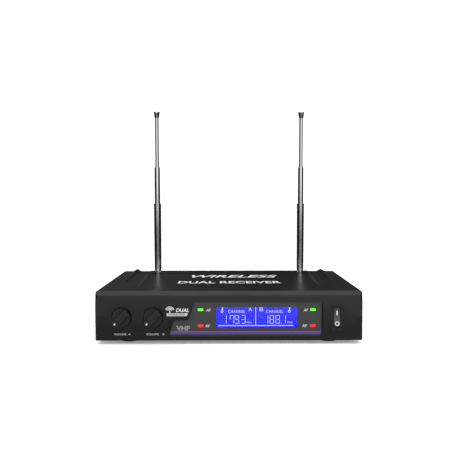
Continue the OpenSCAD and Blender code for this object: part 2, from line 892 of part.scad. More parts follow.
module signal_chips() {
    body = [10, 6.4, 3.2];
    color("#161616") for (side = [-1, 1], i = [0, 1]) {
        translate([side * (28 + 22 * i), main_y0 + 70, main_top + 0.4]) {
            translate([-body.x / 2, -body.y / 2, 0]) cube(body);
            for (n = [-1.5 : 1 : 1.5], s = [-1, 1]) {
                translate([n * 2.54 - 0.3, s * 3.1 - (s < 0 ? 0.9 : 0), -0.4]) cube([0.6, 0.9, 2.4]);
            }
        }
    }
}

module electrolytic_caps() {
    spots = [[2, 72, 5, 12], [-12, 76, 4, 11], [12, 58, 3.2, 9], [-6, 46, 3.2, 9], [70, 60, 4, 11], [-70, 60, 4, 11]];
    color("#24304a") for (s = spots) {
        translate([s[0], main_y0 + s[1], main_top]) difference() {
            cylinder(r = s[2], h = s[3]);
            translate([0, 0, 1.4]) rotate_extrude() translate([s[2] + 0.25, 0]) circle(0.5, $fn = 24);
        }
    }
}

module voltage_regulator() {
    color("#1a1a1a") translate([dc_x + 16, main_y1 - 24, main_top]) {
        translate([-5, 0, 4]) cube([10, 4.4, 9]);
        difference() {
            translate([-5, 0, 12.9]) cube([10, 1.3, 6.2]);
            translate([0, -cut, 16]) rotate([-90, 0, 0]) cylinder(r = 1.8, h = 4, $fn = 24);
        }
        for (i = [-1 : 1]) {
            translate([i * 2.54 - 0.4, 1.8, 0]) cube([0.8, 0.6, 4.2]);
        }
    }
}

module board_headers() {
    color("#e9e4d6") {
        // socket for the ribbon on the main board and on the front board
        block([ribbon_x - 12, main_y0 + 2, main_top], [ribbon_x + 12, main_y0 + 7.6, main_top + 6]);
        block([ribbon_x - 12, board_y + board_t, foot_h + 8.2],
              [ribbon_x + 12, board_y + board_t + 3.4, foot_h + 13.8]);
        // two-way header for the switch leads
        block([switch_x - 15.4, main_y0 + 1, main_top], [switch_x - 9.2, main_y0 + 16, main_top + 5.6]);
    }
}

// Flat flexible cable: out of the front board, over and down into the main board's socket
module ribbon_cable() {
    t = 0.6;
    y0 = board_y + board_t + 3.4;
    y1 = main_y0 + 4.8;
    z0 = foot_h + 11;
    z1 = main_top + 6;
    r = (y1 - y0) / 2;
    mid = (y0 + y1) / 2;
    color("#b7bcc6") {
        block([ribbon_x - 10, y0, z0 - t / 2], [ribbon_x + 10, y0 + 0.6, z0 + t / 2]);
        block([ribbon_x - 10, y0, z0 - t / 2], [ribbon_x + 10, y0 + t, z1 + 6]);
        translate([ribbon_x - 10, y0 + r + t / 2, z1 + 6]) rotate([90, 0, 90]) linear_extrude(20) difference() {
            circle(r + t / 2);
            circle(r - t / 2);
            translate([-2 * r - 1, -2 * r - 1]) square([4 * r + 2, 2 * r + 1]);
        }
        block([ribbon_x - 10, y0 + 2 * r, z1], [ribbon_x + 10, y0 + 2 * r + t, z1 + 6.02]);
    }
}

module antenna_brackets() {
    color("#c9c9c4") for (side = [-1, 1]) {
        x = side * antenna_x;
        difference() {
            union() {
                block([x - 8, antenna_y - 8, bracket_z], [x + 8, panel_y - 0.3, bracket_z + bracket_t]);
                block([x - 8, antenna_y - 8, main_top], [x + 8, antenna_y - 8 + bracket_t, bracket_z + 0.1]);
            }
            rod_z(x, antenna_y, shank_r + run_gap, bracket_z - cut, bracket_z + bracket_t + cut);
            rod_y(x, main_top + 10, 3, antenna_y - 8 - cut, antenna_y - 8 + bracket_t + cut);
        }
    }
}

// ---- antennas ----

// Swivelling post: flange under the cover, flat tongue for the tilt pin on top. The tongue's
// neck stands on the inner side, clear of the slotted foot as that folds outwards
module antenna_post(side) {
    x = side * antenna_x;
    neck = [x - side * (cheek_r - 0.3), x + side * 0.1];
    color("#b5b8bc") difference() {
        union() {
            rod_z(x, antenna_y, post_r, flange_z, post_top);
            rod_z(x, antenna_y, flange_r, flange_z, flange_z + flange_t);
            rod_z(x, antenna_y, shank_r, bracket_z - 0.2, flange_z + 0.1);
            intersection() {
                union() {
                    rod_y(x, pivot_z, cheek_r - 0.3, antenna_y - tongue_t / 2, antenna_y + tongue_t / 2);
                    block([min(neck), antenna_y - tongue_t / 2, post_top - 0.3],
                          [max(neck), antenna_y + tongue_t / 2, pivot_z]);
                }
                rod_z(x, antenna_y, cheek_r - 0.1, post_top - 1, pivot_z + 6);
            }
        }
        rod_y(x, pivot_z, pin_r + run_gap, antenna_y - 4, antenna_y + 4);
        rod_z(x, antenna_y, 1.25, bracket_z - cut, flange_z + 2.2);
    }
}

module post_screw(side) {
    x = side * antenna_x;
    color("silver") {
        screw_up(x, antenna_y, bracket_z - 0.2, 4, 1.8, 1.2, 3.5);
    }
}

// Slotted foot of the lower tube: two cheeks round the tongue
module antenna_base(side) {
    x = side * antenna_x;
    color("#b5b8bc") difference() {
        union() {
            rod_z(x, antenna_y, tube_in - 0.03, base_top - 0.1, spigot_top);
            rod_z(x, antenna_y, tube_r, pivot_z, base_top);
            intersection() {
                rod_z(x, antenna_y, tube_r, pivot_z - tube_r, pivot_z + 0.1);
                rod_y(x, pivot_z, tube_r, antenna_y - tube_r, antenna_y + tube_r);
            }
        }
        block([x - tube_r - cut, antenna_y - tongue_t / 2 - tongue_gap, pivot_z - tube_r - cut],
              [x + tube_r + cut, antenna_y + tongue_t / 2 + tongue_gap, pivot_z + 0.01]);
        rod_y(x, pivot_z, cheek_r - 0.1, antenna_y - tongue_t / 2 - tongue_gap, antenna_y + tongue_t / 2 + tongue_gap);
        rod_y(x, pivot_z, pin_r, antenna_y - tube_r - cut, antenna_y + tube_r + cut);
    }
}

module pivot_pin(side) {
    x = side * antenna_x;
    color("#6d7075") intersection() {
        rod_y(x, pivot_z, pin_r, antenna_y - tube_r, antenna_y + tube_r);
        rod_z(x, antenna_y, tube_r, pivot_z - 2, pivot_z + 2);
    }
}

// A thin tube with a turned-in mouth
module telescope(side, r, r_in, r_mouth, z0, z1) {
    x = side * antenna_x;
    difference() {
        rod_z(x, antenna_y, r, z0, z1);
        rod_z(x, antenna_y, r_in, z0 - cut, z1 - mouth_t);
        rod_z(x, antenna_y, r_mouth, z1 - mouth_t - cut, z1 + cut);
    }
}

module lower_tube(side) {
    color("#c2c5c9") telescope(side, tube_r, tube_in, middle_r + collar_gap, base_top, lower_top);
}

module middle_tube(side) {
    x = side * antenna_x;
    color("#c2c5c9") {
        telescope(side, middle_r, middle_in, rod_r + collar_gap, middle_bottom, middle_top);
        difference() {
            rod_z(x, antenna_y, tube_in - collar_gap, middle_bottom, middle_bottom + middle_collar);
            rod_z(x, antenna_y, middle_r - 0.1, middle_bottom - cut, middle_bottom + middle_collar + cut);
        }
    }
}

module upper_rod(side) {
    x = side * antenna_x;
    color("#c2c5c9") {
        rod_z(x, antenna_y, rod_r, rod_bottom, rod_top + 3);
        rod_z(x, antenna_y, middle_in - collar_gap, rod_bottom, rod_bottom + rod_collar);
    }
}

module antenna_tip(side) {
    x = side * antenna_x;
    color("#c2c5c9") difference() {
        union() {
            translate([x, antenna_y, rod_top]) cylinder(r1 = 2.1, r2 = 2.8, h = tip_h - 1.2);
            rod_z(x, antenna_y, 2.8, rod_top + tip_h - 1.2, rod_top + tip_h);
        }
        rod_z(x, antenna_y, rod_r, rod_top - cut, rod_top + 3);
    }
}

// ---- nodes ----

place() front_bezel();
place() display_plate();
place() display_window();
place() lcd_panel();
place() lcd_frame();
place() backlight_guide();
place() af_leds();
place() rf_leds();
place() front_board();
place() front_board_screws();
place() volume_pots();
place() pot_nuts();
place() pot_washers();
place() knob(knob_a_x);  // knob_a
place() knob(knob_b_x);  // knob_b
place() knob_pointer(knob_a_x);  // knob_a_pointer
place() knob_pointer(knob_b_x);  // knob_b_pointer
place() pot_shaft(knob_a_x);  // pot_shaft_a
place() pot_shaft(knob_b_x);  // pot_shaft_b
place() switch_housing();
place() switch_rocker();
place() switch_terminals();
place() switch_leads();
place() top_cover();
place() bottom_tray();
place() rear_panel();
place() case_screws();
place() rubber_feet();
place() output_jack();
place() output_jack_nut();
place() dc_jack();
place() dc_jack_pin();
place() main_board();
place() main_board_screws();
place() rf_shield_cans();
place() if_coils();
place() crystals();
place() signal_chips();
place() electrolytic_caps();
place() voltage_regulator();
place() board_headers();
place() ribbon_cable();
place() antenna_brackets();
place() antenna_post(-1);  // antenna_post_left
place() antenna_post(1);  // antenna_post_right
place() post_screw(-1);  // post_screw_left
place() post_screw(1);  // post_screw_right
place() antenna_base(-1);  // antenna_base_left
place() antenna_base(1);  // antenna_base_right
place() pivot_pin(-1);  // pivot_pin_left
place() pivot_pin(1);  // pivot_pin_right
place() lower_tube(-1);  // lower_tube_left
place() lower_tube(1);  // lower_tube_right
place() middle_tube(-1);  // middle_tube_left
place() middle_tube(1);  // middle_tube_right
place() upper_rod(-1);  // upper_rod_left
place() upper_rod(1);  // upper_rod_right
place() antenna_tip(-1);  // antenna_tip_left
place() antenna_tip(1);  // antenna_tip_right
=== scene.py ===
"""A two-channel wireless microphone receiver, put together in the order its parts go on."""

import math

import bpy
from mathutils import Matrix, Vector


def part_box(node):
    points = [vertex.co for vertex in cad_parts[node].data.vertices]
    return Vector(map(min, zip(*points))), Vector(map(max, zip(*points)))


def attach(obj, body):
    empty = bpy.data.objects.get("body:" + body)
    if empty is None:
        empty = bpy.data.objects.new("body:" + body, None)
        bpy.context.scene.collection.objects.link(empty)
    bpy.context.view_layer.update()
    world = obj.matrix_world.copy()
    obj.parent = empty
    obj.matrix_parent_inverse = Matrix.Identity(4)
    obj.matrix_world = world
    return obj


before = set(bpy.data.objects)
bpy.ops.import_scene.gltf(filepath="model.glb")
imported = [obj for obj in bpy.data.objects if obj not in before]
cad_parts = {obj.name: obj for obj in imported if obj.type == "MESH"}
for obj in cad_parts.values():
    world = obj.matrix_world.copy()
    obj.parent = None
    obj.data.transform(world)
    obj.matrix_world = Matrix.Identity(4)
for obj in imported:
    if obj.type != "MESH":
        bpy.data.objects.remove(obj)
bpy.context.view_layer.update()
MM = 0.001


# ---------------------------------------------------------------------------------------------
# Front panel. One ABS moulding, 3.6 mm thick, with a sloping strip along its top, a crease
# across its middle and flat pads where the knobs and the switch sit. Fine spark-eroded satin.
# ---------------------------------------------------------------------------------------------

def soften(node, width, segments=3, angle=30, merge=True):
    """Rounds the sharp edges of a moulded or turned part, as its tool leaves them."""
    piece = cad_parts[node]
    weld = piece.modifiers.new("Join faces", "WELD")
    weld.merge_threshold = 2e-6
    if merge:
        flat = piece.modifiers.new("Merge flat faces", "DECIMATE")
        flat.decimate_type = "DISSOLVE"
        flat.angle_limit = math.radians(0.6)
    edge = piece.modifiers.new("Edge radius", "BEVEL")
    edge.width = width * MM
    edge.segments = segments
    edge.limit_method = "ANGLE"
    edge.angle_limit = math.radians(angle)
    edge.miter_outer = "MITER_ARC"
    edge.use_clamp_overlap = True
    shade = piece.modifiers.new("Shading", "WEIGHTED_NORMAL")
    shade.weight = 80


def socket_of(group, name, kind, way, value=None):
    made = group.interface.new_socket(name=name, in_out=way, socket_type=kind)
    if value is not None:
        made.default_value = value
    return made


def link(tree, source, target):
    tree.links.new(source, target)


def add(tree, kind, **settings):
    made = tree.nodes.new(kind)
    for name, value in settings.items():
        setattr(made, name, value)
    return made


def arithmetic(tree, operation, first, second=0.5, clamp=False):
    """A Math node whose inputs are sockets or plain numbers."""
    made = add(tree, "ShaderNodeMath", operation=operation, use_clamp=clamp)
    for slot, value in zip(made.inputs, (first, second)):
        if isinstance(value, (int, float)):
            slot.default_value = value
        else:
            link(tree, value, slot)
    return made.outputs[0]


def moulded_grain():
    """Texture of a moulded or printed surface: fine grain and slow mottling."""
    group = bpy.data.node_groups.new("Moulded grain", "ShaderNodeTree")
    socket_of(group, "Colour", "NodeSocketColor", "INPUT", (0.02, 0.02, 0.02, 1))
    socket_of(group, "Roughness", "NodeSocketFloat", "INPUT", 0.4)
    socket_of(group, "Grain per metre", "NodeSocketFloat", "INPUT", 2500)
    socket_of(group, "Mottle", "NodeSocketFloat", "INPUT", 0.1)
    socket_of(group, "Colour", "NodeSocketColor", "OUTPUT")
    socket_of(group, "Roughness", "NodeSocketFloat", "OUTPUT")
    socket_of(group, "Height", "NodeSocketFloat", "OUTPUT")
    ends = add(group, "NodeGroupInput")
    out = add(group, "NodeGroupOutput")
    place = add(group, "ShaderNodeTexCoord")
    fine = add(group, "ShaderNodeTexNoise")
    fine.inputs["Detail"].default_value = 3
    link(group, place.outputs["Object"], fine.inputs["Vector"])
    link(group, ends.outputs["Grain per metre"], fine.inputs["Scale"])
    slow = add(group, "ShaderNodeTexNoise")
    slow.inputs["Scale"].default_value = 38
    slow.inputs["Detail"].default_value = 4
    slow.inputs["Roughness"].default_value = 0.6
    link(group, place.outputs["Object"], slow.inputs["Vector"])
    swing = arithmetic(group, "SUBTRACT", slow.outputs["Fac"], 0.5)
    grain = arithmetic(group, "SUBTRACT", fine.outputs["Fac"], 0.5)
    tone = arithmetic(group, "MULTIPLY_ADD", grain, 0.25)
    link(group, arithmetic(group, "MULTIPLY", swing, ends.outputs["Mottle"]), tone.node.inputs[2])
    tone = arithmetic(group, "ADD", tone, 1.0)
    tinted = add(group, "ShaderNodeVectorMath", operation="SCALE")
    link(group, ends.outputs["Colour"], tinted.inputs[0])
    link(group, tone, tinted.inputs["Scale"])
    link(group, tinted.outputs[0], out.inputs["Colour"])
    rough = arithmetic(group, "MULTIPLY_ADD", swing, 0.18)
    link(group, ends.outputs["Roughness"], rough.node.inputs[2])
    link(group, rough, out.inputs["Roughness"])
    link(group, fine.outputs["Fac"], out.inputs["Height"])
    return group


GRAIN = moulded_grain()


def new_material(name):
    made = bpy.data.materials.new(name)
    made.use_nodes = True
    return made, made.node_tree, made.node_tree.nodes["Principled BSDF"]


def skinned(name, texture, values, relief):
    """A material whose colour, roughness and fine relief come from a shared texture."""
    made, tree, shader = new_material(name)
    skin = add(tree, "ShaderNodeGroup", node_tree=texture)
    for socket, value in values.items():
        skin.inputs[socket].default_value = value
    bump = add(tree, "ShaderNodeBump")
    bump.inputs["Strength"].default_value = 1.0
    bump.inputs["Distance"].default_value = relief * MM
    link(tree, skin.outputs["Height"], bump.inputs["Height"])
    link(tree, bump.outputs["Normal"], shader.inputs["Normal"])
    link(tree, skin.outputs["Colour"], shader.inputs["Base Color"])
    link(tree, skin.outputs["Roughness"], shader.inputs["Roughness"])
    return made, shader


def grained(name, colour, roughness, grain=2500, mottle=0.1, relief=0.02):
    """A moulded plastic, rubber or ink with its own tone, gloss and grain."""
    values = {"Colour": (*colour, 1), "Roughness": roughness, "Grain per metre": grain,
              "Mottle": mottle}
    return skinned(name, GRAIN, values, relief)[0]


def finish_with(material, *nodes):
    """Gives carried-over parts their finish."""
    for node in nodes:
        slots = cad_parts[node].data.materials
        slots.clear()
        slots.append(material)


SATIN_BLACK = grained("Satin black ABS", (0.0052, 0.0052, 0.0054), 0.42, grain=2600, mottle=0.12,
                      relief=0.004)
finish_with(SATIN_BLACK, "front_bezel")
soften("front_bezel", 0.35, 2)


# ---------------------------------------------------------------------------------------------
# Print on the front panel. Pad-printed white ink: the two volume labels, and a plain mark of
# radio waves over a pale name bar where a maker would put a badge.
# ---------------------------------------------------------------------------------------------

FACE_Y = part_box("front_bezel")[0].y
CREASE_Z = 22.4 * MM
UPPER_LEAN = math.atan(1 / 16.35)
LOWER_LEAN = math.atan(1 / 19.4)


def on_face(x, z, proud=0.03):
    """A place on the front panel in metres, and the turn that lays flat print on it."""
    upper = z * MM > CREASE_Z
    lean = UPPER_LEAN if upper else LOWER_LEAN
    back = abs(z * MM - CREASE_Z) * math.tan(lean)
    turn = math.pi / 2 - lean if upper else math.pi / 2 + lean
    return Vector((x * MM, FACE_Y + back - proud * MM, z * MM)), Matrix.Rotation(turn, 4, "X")


def lettering(words, width, height, slant=0.0, bold=0.0, spacing=1.0):
    """Flat letters centred on the origin in X and Y, stretched to a width and height in mm."""
    words_curve = bpy.data.curves.new("words", "FONT")
    words_curve.body = words
    words_curve.shear = slant
    words_curve.offset = bold
    words_curve.space_character = spacing
    words_curve.resolution_u = 4
    holder = bpy.data.objects.new("words", words_curve)
    bpy.context.scene.collection.objects.link(holder)
    bpy.context.view_layer.update()
    mesh = bpy.data.meshes.new_from_object(holder)
    bpy.data.objects.remove(holder)
    bpy.data.curves.remove(words_curve)
    xs = [v.co.x for v in mesh.vertices]
    ys = [v.co.y for v in mesh.vertices]
    middle = Vector(((min(xs) + max(xs)) / 2, (min(ys) + max(ys)) / 2, 0))
    sx = width * MM / (max(xs) - min(xs))
    sy = height * MM / (max(ys) - min(ys))
    for v in mesh.vertices:
        v.co = Vector(((v.co.x - middle.x) * sx, (v.co.y - middle.y) * sy, 0))
    return mesh


def flat_mesh(name, loops):
    """Flat faces in X and Y from loops of points in mm."""
    mesh = bpy.data.meshes.new(name)
    points, faces = [], []
    for loop in loops:
        faces.append(range(len(points), len(points) + len(loop)))
        points.extend((x * MM, y * MM, 0) for x, y in loop)
    mesh.from_pydata(points, [], [list(face) for face in faces])
    return mesh


def bar(x0, y0, x1, y1):
    return [(x0, y0), (x1, y0), (x1, y1), (x0, y1)]


def arc_band(x, y, inner, outer, start, end, steps=16):
    """A curved stroke from start to end in degrees."""
    def at(r, i):
        a = math.radians(start + (end - start) * i / steps)
        return x + r * math.cos(a), y + r * math.sin(a)
    return [at(outer, i) for i in range(steps + 1)] + [at(inner, i) for i in range(steps, -1, -1)]


def ring_loops(x, y, inner, outer, steps=32):
    """A ring as two half bands, so that each is one face."""
    return [arc_band(x, y, inner, outer, start, start + 180, steps // 2) for start in (0, 180)]


def new_piece(name, mesh, body, material):
    made = bpy.data.objects.new(name, mesh)
    bpy.context.scene.collection.objects.link(made)
    mesh.materials.append(material)
    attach(made, body)


def printed(name, mesh, place, turn, material, slot="front_black", body="chassis"):
    mesh.transform(Matrix.Translation(place) @ turn)
    new_piece(name, mesh, body, material)


WHITE_INK = grained("White pad print", (0.62, 0.62, 0.62), 0.5, grain=5200, mottle=0.25, relief=0.004)
VOLUME_INK = grained("Thin white pad print", (0.45, 0.45, 0.45), 0.5, grain=5200, mottle=0.3,
                     relief=0.004)
label_z, letter_height = 8.1, 1.6
for side, words, width, x in (("a", "VOLUME  A", 12.9, -83.9), ("b", "VOLUME    B", 14.3, -58.1)):
    label = lettering(words, width, letter_height)
    printed(f"label_volume_{side}", label, *on_face(x, label_z), VOLUME_INK)

waves = [arc_band(-6.4, -0.6, r, r + 0.5, 20, 160, 14) for r in (1.2, 2.2, 3.2)]
waves.append([(-6.75, -2.2), (-6.05, -2.2), (-6.25, 0.2), (-6.55, 0.2)])
printed("badge_waves", flat_mesh("badge_waves", waves), *on_face(-40.0, 27.0), WHITE_INK)
badge_words = lettering("DUAL", 10.2, 2.9, slant=0.25, bold=0.02)
printed("badge_words", badge_words, *on_face(-36.6, 27.2), WHITE_INK)
PALE_INK = grained("Grey pad print", (0.42, 0.42, 0.42), 0.5, grain=5200, mottle=0.25, relief=0.004)
name_bar = [(-8.3, -1.15), (6.9, -1.15), (7.9, -0.2), (8.3, 1.15), (-8.3, 1.15)]
printed("badge_bar", flat_mesh("badge_bar", [name_bar]), *on_face(-40.6, 23.7), PALE_INK)
BLACK_INK = grained("Black pad print", (0.03, 0.03, 0.03), 0.5, grain=5200, mottle=0.1, relief=0.004)
bar_words = lettering("WIRELESS", 13.0, 1.3, bold=0.01)
printed("badge_bar_words", bar_words, *on_face(-41.2, 23.7, 0.05), BLACK_INK)


# ---------------------------------------------------------------------------------------------
# Display plate. Flat grey film-faced plate set in the sunk field, with a red and a blue stripe
# printed along its lower edge, lamp names beside the lamps and the band name at its left end.
# ---------------------------------------------------------------------------------------------

def blend_colours(tree, how_much, first, second):
    """A colour Mix node whose inputs are sockets or plain colours."""
    made = add(tree, "ShaderNodeMix", data_type="RGBA")
    slots = (made.inputs[0], made.inputs[6], made.inputs[7])
    for slot, value in zip(slots, (how_much, first, second)):
        if isinstance(value, (int, float)):
            slot.default_value = value
        elif isinstance(value, tuple):
            slot.default_value = (*value, 1.0)
        else:
            link(tree, value, slot)
    return made.outputs[2]


def stripe_mask(tree, height, low, high):
    """1 between two heights in mm, with a printed edge a few hundredths wide."""
    sharpness = 25000
    above = arithmetic(tree, "SUBTRACT", height, low * MM)
    above = arithmetic(tree, "MULTIPLY", above, sharpness, clamp=True)
    below = arithmetic(tree, "SUBTRACT", high * MM, height)
    below = arithmetic(tree, "MULTIPLY", below, sharpness, clamp=True)
    return arithmetic(tree, "MULTIPLY", above, below)


# Lower and upper edge of each stripe, in mm above the table
RED_STRIPE = (9.45, 10.3)
BLUE_STRIPE = (7.9, 9.35)


def display_plate_finish():
    made = grained("Grey display film", (0.033, 0.033, 0.0335), 0.42, grain=4200, mottle=0.08,
                   relief=0.004)
    tree = made.node_tree
    shader = tree.nodes["Principled BSDF"]
    grey = shader.inputs["Base Color"].links[0].from_socket
    place = add(tree, "ShaderNodeTexCoord")
    split = add(tree, "ShaderNodeSeparateXYZ")
    link(tree, place.outputs["Object"], split.inputs[0])
    red = stripe_mask(tree, split.outputs["Z"], *RED_STRIPE)
    blue = stripe_mask(tree, split.outputs["Z"], *BLUE_STRIPE)
    colour = blend_colours(tree, red, grey, (0.27, 0.035, 0.035))
    colour = blend_colours(tree, blue, colour, (0.035, 0.035, 0.3))
    link(tree, colour, shader.inputs["Base Color"])
    return made


finish_with(display_plate_finish(), "display_plate")
PLATE_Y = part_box("display_plate")[0].y


def on_plate(x, z, proud=0.03):
    return Vector((x * MM, PLATE_Y - proud * MM, z * MM)), Matrix.Rotation(math.pi / 2, 4, "X")


GREY_INK = grained("Dark grey screen print", (0.2, 0.2, 0.2), 0.5, grain=5200, mottle=0.2, relief=0.004)
lamp_names = (("left", ((-16.1, 27.0), (-16.8, 14.4))), ("right", ((60.3, 27.0), (59.6, 14.4))))
for side, spots in lamp_names:
    for words, (x, z) in zip(("AF", "RF"), spots):
        tag = f"label_{words.lower()}_{side}"
        letters = lettering(words, 3.7, 2.2, slant=0.25)
        printed(tag, letters, *on_plate(x, z), WHITE_INK, "display_grey")
band_name = lettering("VHF", 10.8, 4.0, bold=0.05)
printed("label_band", band_name, *on_plate(-36.3, 12.6), GREY_INK, "display_grey")


# ---------------------------------------------------------------------------------------------
# Display. A lit blue liquid crystal panel with pale segments under a clear acrylic window, held
# to the board by a black frame with a light guide behind the glass.
# ---------------------------------------------------------------------------------------------

def lit_display():
    made, tree, shader = new_material("Lit blue display")
    place = add(tree, "ShaderNodeTexCoord")
    split = add(tree, "ShaderNodeSeparateXYZ")
    link(tree, place.outputs["Object"], split.inputs[0])
    low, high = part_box("display_window")
    height = add(tree, "ShaderNodeMapRange")
    height.inputs["From Min"].default_value = low.z
    height.inputs["From Max"].default_value = high.z
    link(tree, split.outputs["Z"], height.inputs["Value"])
    cells = add(tree, "ShaderNodeTexNoise")
    cells.inputs["Scale"].default_value = 900
    link(tree, place.outputs["Object"], cells.inputs["Vector"])
    patch = add(tree, "ShaderNodeTexNoise")
    patch.inputs["Scale"].default_value = 60
    link(tree, place.outputs["Object"], patch.inputs["Vector"])
    uneven = arithmetic(tree, "SUBTRACT", patch.outputs["Fac"], 0.5)
    level = arithmetic(tree, "MULTIPLY_ADD", uneven, 0.5)
    link(tree, height.outputs["Result"], level.node.inputs[2])
    colour = blend_colours(tree, level, (0.002, 0.003, 0.97), (0.028, 0.03, 1.0))
    speck = arithmetic(tree, "MULTIPLY_ADD", cells.outputs["Fac"], 0.12)
    speck.node.inputs[2].default_value = 0.94
    lit = add(tree, "ShaderNodeVectorMath", operation="SCALE")
    link(tree, colour, lit.inputs[0])
    link(tree, speck, lit.inputs["Scale"])
    link(tree, lit.outputs[0], shader.inputs["Emission Color"])
    shader.inputs["Emission Strength"].default_value = 0.97
    shader.inputs["Base Color"].default_value = (0.01, 0.01, 0.06, 1)
    shader.inputs["Roughness"].default_value = 0.3
    shader.inputs["Specular IOR Level"].default_value = 0.05
    return made


def window_acrylic():
    made, tree, shader = new_material("Clear acrylic window")
    dust = add(tree, "ShaderNodeTexNoise")
    dust.inputs["Scale"].default_value = 300
    place = add(tree, "ShaderNodeTexCoord")
    link(tree, place.outputs["Object"], dust.inputs["Vector"])
    haze = arithmetic(tree, "MULTIPLY", dust.outputs["Fac"], 0.012)
    link(tree, haze, shader.inputs["Roughness"])
    shader.inputs["Base Color"].default_value = (0.97, 0.97, 1.0, 1)
    shader.inputs["Transmission Weight"].default_value = 1.0
    shader.inputs["IOR"].default_value = 1.25
    return made


def uneven_glow():
    """Light through a diffusing body, in soft clouds between a deep and a bright tone."""
    group = bpy.data.node_groups.new("Uneven glow", "ShaderNodeTree")
    socket_of(group, "Deep", "NodeSocketColor", "INPUT", (0.4, 0.4, 0.4, 1))
    socket_of(group, "Bright", "NodeSocketColor", "INPUT", (1, 1, 1, 1))
    socket_of(group, "Clouds per metre", "NodeSocketFloat", "INPUT", 420)
    socket_of(group, "Swing", "NodeSocketFloat", "INPUT", 1.0)
    socket_of(group, "Level", "NodeSocketFloat", "INPUT", 0.0)
    socket_of(group, "Colour", "NodeSocketColor", "OUTPUT")
    ends = add(group, "NodeGroupInput")
    out = add(group, "NodeGroupOutput")
    place = add(group, "ShaderNodeTexCoord")
    cloud = add(group, "ShaderNodeTexNoise")
    link(group, place.outputs["Object"], cloud.inputs["Vector"])
    link(group, ends.outputs["Clouds per metre"], cloud.inputs["Scale"])
    level = arithmetic(group, "MULTIPLY_ADD", cloud.outputs["Fac"], ends.outputs["Swing"])
    link(group, ends.outputs["Level"], level.node.inputs[2])
    colour = blend_colours(group, level, ends.outputs["Deep"], ends.outputs["Bright"])
    link(group, colour, out.inputs["Colour"])
    return group


GLOW = uneven_glow()


def glowing(name, deep, bright, strength, clouds, swing=1.0, level=0.0):
    made, tree, shader = new_material(name)
    glow = add(tree, "ShaderNodeGroup", node_tree=GLOW)
    glow.inputs["Deep"].default_value = (*deep, 1)
    glow.inputs["Bright"].default_value = (*bright, 1)
    glow.inputs["Clouds per metre"].default_value = clouds
    glow.inputs["Swing"].default_value = swing
    glow.inputs["Level"].default_value = level
    link(tree, glow.outputs["Colour"], shader.inputs["Emission Color"])
    shader.inputs["Emission Strength"].default_value = strength
    return made, shader


def lit_segments():
    made, shader = glowing("Pale lit segments", (0.4, 0.42, 1.0), (0.62, 0.64, 1.0), 1.0, 1500)
    shader.inputs["Base Color"].default_value = (0.2, 0.2, 0.4, 1)
    return made


finish_with(lit_display(), "lcd_panel")
finish_with(window_acrylic(), "display_window")
MILKY_ACRYLIC = grained("Milky light guide", (0.6, 0.66, 0.8), 0.25, grain=900, mottle=0.1)
finish_with(MILKY_ACRYLIC, "backlight_guide")
finish_with(grained("Plain black moulding", (0.02, 0.02, 0.02), 0.5), "lcd_frame")
SEGMENTS = lit_segments()
GLASS_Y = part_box("lcd_panel")[0].y


def on_glass(x, z):
    return Vector((x * MM, GLASS_Y - 0.02 * MM, z * MM)), Matrix.Rotation(math.pi / 2, 4, "X")


def digit_loops(figure, x, z, width, height, stroke=0.45, gap=0.18):
    """The lit bars of one seven-segment figure whose lower left corner is at x, z."""
    lit = {"1": "bc", "3": "abgcd", "7": "abcf", "8": "abcdefg", "9": "abcdfg"}[figure]
    s, g, w, h = stroke, gap, width, height
    half = h / 2

    def across(up):
        left, right, y = x + s + g, x + w - s - g, z + up
        return [(left - s / 2, y), (left, y + s / 2), (right, y + s / 2),
                (right + s / 2, y), (right, y - s / 2), (left, y - s / 2)]

    def upright(along, low, high):
        c, bottom, top = x + along, z + low + g + s / 2, z + high - g - s / 2
        return [(c, bottom - s / 2), (c + s / 2, bottom), (c + s / 2, top),
                (c, top + s / 2), (c - s / 2, top), (c - s / 2, bottom)]

    bars = {
        "a": across(h - s / 2), "g": across(half), "d": across(s / 2),
        "b": upright(w - s / 2, half, h), "c": upright(w - s / 2, 0, half),
        "f": upright(s / 2, half, h), "e": upright(s / 2, 0, half),
    }
    return [bars[b] for b in lit]


def microphone_icon(x, z):
    """A little microphone: a ring head low down with a short stem to the upper right."""
    head = ring_loops(x, z + 1.05, 0.5, 1.05, 20)
    stem = [(x - 0.15, z + 1.9), (x + 0.45, z + 1.9), (x + 0.75, z + 4.7), (x + 0.05, z + 4.7)]
    grip = [(x - 0.55, z + 2.5), (x + 1.0, z + 2.9), (x + 1.0, z + 3.3), (x - 0.55, z + 2.9)]
    return head + [stem, grip]


marks = []
channel_a = ((-5.4, "1"), (0.5, "7"), (4.35, "9"), (9.5, "3"))
channel_b = ((27.45, "1"), (32.0, "8"), (36.55, "8"), (41.3, "1"))
digit_z, digit_width, digit_height = 16.0, 3.4, 6.7
for x, figure in channel_a + channel_b:
    marks += digit_loops(figure, x, digit_z, digit_width, digit_height)
for point_x in (8.1, 41.0):
    marks.append(bar(point_x, digit_z, point_x + 0.5, digit_z + 0.6))
divider = bar(20.7, 14.8, 21.2, 29.4)
base_line = bar(-8.7, 14.2, 50.7, 14.8)
marks += [divider, base_line]
marks += microphone_icon(-5.6, 24.6) + microphone_icon(47.4, 24.7)
segments = flat_mesh("display_segments", marks)
printed("display_segments", segments, *on_glass(0, 0), SEGMENTS, "lcd_blue")
for side, x, letter_x, unit_x in (("a", 5.95, 16.6, 15.6), ("b", 35.95, 25.4, 47.9)):
    words = (
        ("channel", lettering("CHANNEL", 13.4, 2.3, spacing=1.1), x, 25.7),
        ("letter", lettering(side.upper(), 2.9, 2.9), letter_x, 27.4),
        ("unit", lettering("MHz", 4.2, 1.5, slant=0.1), unit_x, 17.0),
    )
    for tag, mesh, word_x, word_z in words:
        printed(f"display_{tag}_{side}", mesh, *on_glass(word_x, word_z), SEGMENTS, "lcd_blue")


